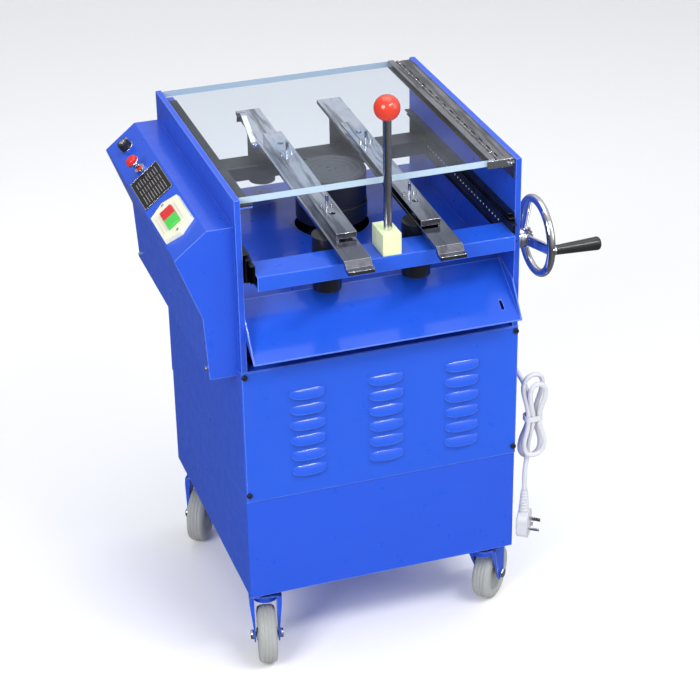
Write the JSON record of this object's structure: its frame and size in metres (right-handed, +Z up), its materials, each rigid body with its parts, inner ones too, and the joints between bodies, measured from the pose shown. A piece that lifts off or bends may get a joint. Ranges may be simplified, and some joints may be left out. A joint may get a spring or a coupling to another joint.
{
  "type": "component lead cutting machine",
  "caption": "Blue cabinet machine on casters that trims component leads on circuit boards, with sliding board rails, a cutter under a clear cover, a push lever and a side handwheel",
  "frame": {"origin": "floor under the centre of the outline", "axes": "+X operator's right, +Y rear, +Z up"},
  "size_m": [0.6517, 0.592, 0.9555],
  "materials": {
    "cabinet_blue": "satin",
    "louvre_blue": "satin",
    "black_paint": "satin",
    "black_slide": "satin",
    "blued_steel": "satin",
    "rail_steel": "satin",
    "bright_steel": "satin",
    "chrome_bright": "polished",
    "cast_motor": "matt",
    "clear_cover": "clear gloss",
    "block_nylon": "satin",
    "ball_red": "gloss",
    "button_red": "gloss",
    "button_green": "gloss",
    "switch_cream": "satin",
    "knob_black": "satin",
    "plate_black": "satin",
    "tyre_grey": "matt",
    "strip_rubber": "matt",
    "cord_white": "satin"
  },
  "bodies": {
    "frame": {"base_cabinet": "cabinet_blue", "upper_cabinet": "cabinet_blue", "louvre_panel": "louvre_blue", "panel_screws": "black_paint", "side_wall_left": "cabinet_blue", "side_wall_right": "cabinet_blue", "deck_plate": "cabinet_blue", "chute_flap": "louvre_blue", "control_box": "cabinet_blue", "control_screws": "chrome_bright", "nameplate": "plate_black", "estop_collar": "chrome_bright", "switch_housing": "switch_cream", "cover_rest_strip": "strip_rubber", "cover_rail": "bright_steel", "slide_outers": "black_slide", "handwheel_bush": "bright_steel", "lift_guides": "bright_steel", "caster_plates": "bright_steel", "cord_gland": "cord_white", "cord_lead": "cord_white", "cord_hank": "cord_white", "cord_tie": "cord_white", "cord_tail": "cord_white", "plug_body": "cord_white", "plug_pins": "bright_steel"},
    "slide_middle": {"slide_middles": "black_slide"},
    "carriage": {"slide_inners": "black_slide", "front_bar": "louvre_blue", "rear_bar": "blued_steel", "lever_block": "block_nylon", "lever_rod": "bright_steel", "lever_ball": "ball_red"},
    "left_rail": {"rail_strip_left": "rail_steel", "rail_plate_left": "rail_steel", "rail_supports_left": "black_paint", "rail_spring": "rail_steel"},
    "right_rail": {"rail_strip_right": "rail_steel", "rail_plate_right": "rail_steel", "rail_supports_right": "black_paint"},
    "cover_carrier": {"cover_runner": "black_paint"},
    "cover": {"cover_hinge_leaf": "bright_steel", "cover_panel": "clear_cover"},
    "lift": {"cutter_motor": "cast_motor"},
    "spindle": {"cutter_disc": "blued_steel", "cutter_drum": "blued_steel"},
    "hand_wheel": {"handwheel": "chrome_bright"},
    "wheel_grip": {"handwheel_grip": "knob_black"},
    "knob": {"speed_knob": "knob_black"},
    "emergency_stop": {"estop_button": "button_red"},
    "red_button": {"stop_button": "button_red"},
    "green_button": {"start_button": "button_green"},
    "caster_front_left": {"caster_fork_front_left": "cabinet_blue"},
    "wheel_front_left": {"caster_wheel_front_left": "tyre_grey"},
    "caster_front_right": {"caster_fork_front_right": "cabinet_blue"},
    "wheel_front_right": {"caster_wheel_front_right": "tyre_grey"},
    "caster_rear_left": {"caster_fork_rear_left": "cabinet_blue"},
    "wheel_rear_left": {"caster_wheel_rear_left": "tyre_grey"},
    "caster_rear_right": {"caster_fork_rear_right": "cabinet_blue"},
    "wheel_rear_right": {"caster_wheel_rear_right": "tyre_grey"}
  },
  "joints": [
    {"name": "carriage_slide", "type": "slide", "parent": "frame", "child": "carriage", "axis": [0, 1, 0], "range_m": [0, 0.12]},
    {"name": "middle_slide", "type": "slide", "parent": "frame", "child": "slide_middle", "axis": [0, 1, 0], "range_m": [0, 0.06]},
    {"name": "cover_slide", "type": "slide", "parent": "frame", "child": "cover_carrier", "axis": [0, 1, 0], "range_m": [0, 0.12]},
    {"name": "cover_hinge", "type": "hinge", "parent": "cover_carrier", "child": "cover", "pos_m": [0.17896, 0.016, 0.817], "axis": [0, 1, 0], "range_deg": [0, 95]},
    {"name": "left_rail_slide", "type": "slide", "parent": "carriage", "child": "left_rail", "axis": [1, 0, 0], "range_m": [-0.1, 0.022]},
    {"name": "right_rail_slide", "type": "slide", "parent": "carriage", "child": "right_rail", "axis": [1, 0, 0], "range_m": [-0.04, 0.08]},
    {"name": "handwheel_turn", "type": "hinge", "parent": "frame", "child": "hand_wheel", "pos_m": [0.21396, -0.195, 0.679], "axis": [1, 0, 0], "range_deg": [-720, 144]},
    {"name": "cutter_lift", "type": "slide", "parent": "frame", "child": "lift", "axis": [0, 0, 1], "range_m": [-0.02, 0.004]},
    {"name": "spindle_turn", "type": "hinge", "parent": "lift", "child": "spindle", "pos_m": [0.00296, 0.067, 0.644], "axis": [0, 0, 1], "continuous": true},
    {"name": "grip_turn", "type": "hinge", "parent": "hand_wheel", "child": "wheel_grip", "pos_m": [0.28396, -0.253, 0.679], "axis": [1, 0, 0], "continuous": true},
    {"name": "speed_turn", "type": "hinge", "parent": "frame", "child": "knob", "pos_m": [-0.30216, 0.19, 0.7589], "axis": [-0.6247, 0, 0.7809], "range_deg": [-135, 135]},
    {"name": "estop_push", "type": "slide", "parent": "frame", "child": "emergency_stop", "axis": [0.6247, 0, -0.7809], "range_m": [0, 0.004]},
    {"name": "stop_push", "type": "slide", "parent": "frame", "child": "red_button", "axis": [0.6247, 0, -0.7809], "range_m": [0, 0.003], "stiffness_N_per_m": 300},
    {"name": "start_push", "type": "slide", "parent": "frame", "child": "green_button", "axis": [0.6247, 0, -0.7809], "range_m": [0, 0.003], "stiffness_N_per_m": 300},
    {"name": "swivel_front_left", "type": "hinge", "parent": "frame", "child": "caster_front_left", "pos_m": [-0.20104, -0.174, 0.11], "axis": [0, 0, 1], "continuous": true},
    {"name": "roll_front_left", "type": "hinge", "parent": "caster_front_left", "child": "wheel_front_left", "pos_m": [-0.20734, -0.20128, 0.0475], "axis": [-0.9744, 0.225, 0], "continuous": true},
    {"name": "swivel_front_right", "type": "hinge", "parent": "frame", "child": "caster_front_right", "pos_m": [0.17896, -0.174, 0.11], "axis": [0, 0, 1], "continuous": true},
    {"name": "roll_front_right", "type": "hinge", "parent": "caster_front_right", "child": "wheel_front_right", "pos_m": [0.19876, -0.1542, 0.0475], "axis": [0.7071, -0.7071, 0], "continuous": true},
    {"name": "swivel_rear_left", "type": "hinge", "parent": "frame", "child": "caster_rear_left", "pos_m": [-0.20104, 0.206, 0.11], "axis": [0, 0, 1], "continuous": true},
    {"name": "roll_rear_left", "type": "hinge", "parent": "caster_rear_left", "child": "wheel_rear_left", "pos_m": [-0.21504, 0.18175, 0.0475], "axis": [-0.866, 0.5, 0], "continuous": true},
    {"name": "swivel_rear_right", "type": "hinge", "parent": "frame", "child": "caster_rear_right", "pos_m": [0.17896, 0.206, 0.11], "axis": [0, 0, 1], "continuous": true},
    {"name": "roll_rear_right", "type": "hinge", "parent": "caster_rear_right", "child": "wheel_rear_right", "pos_m": [0.16496, 0.23025, 0.0475], "axis": [0.866, 0.5, 0], "continuous": true}
  ],
  "couplings": [
    {"joint": "middle_slide", "follows": "carriage_slide", "ratio": 0.5},
    {"joint": "cover_slide", "follows": "carriage_slide", "ratio": 1},
    {"joint": "handwheel_turn", "follows": "cutter_lift", "rad_per_m": 628.3}
  ]
}
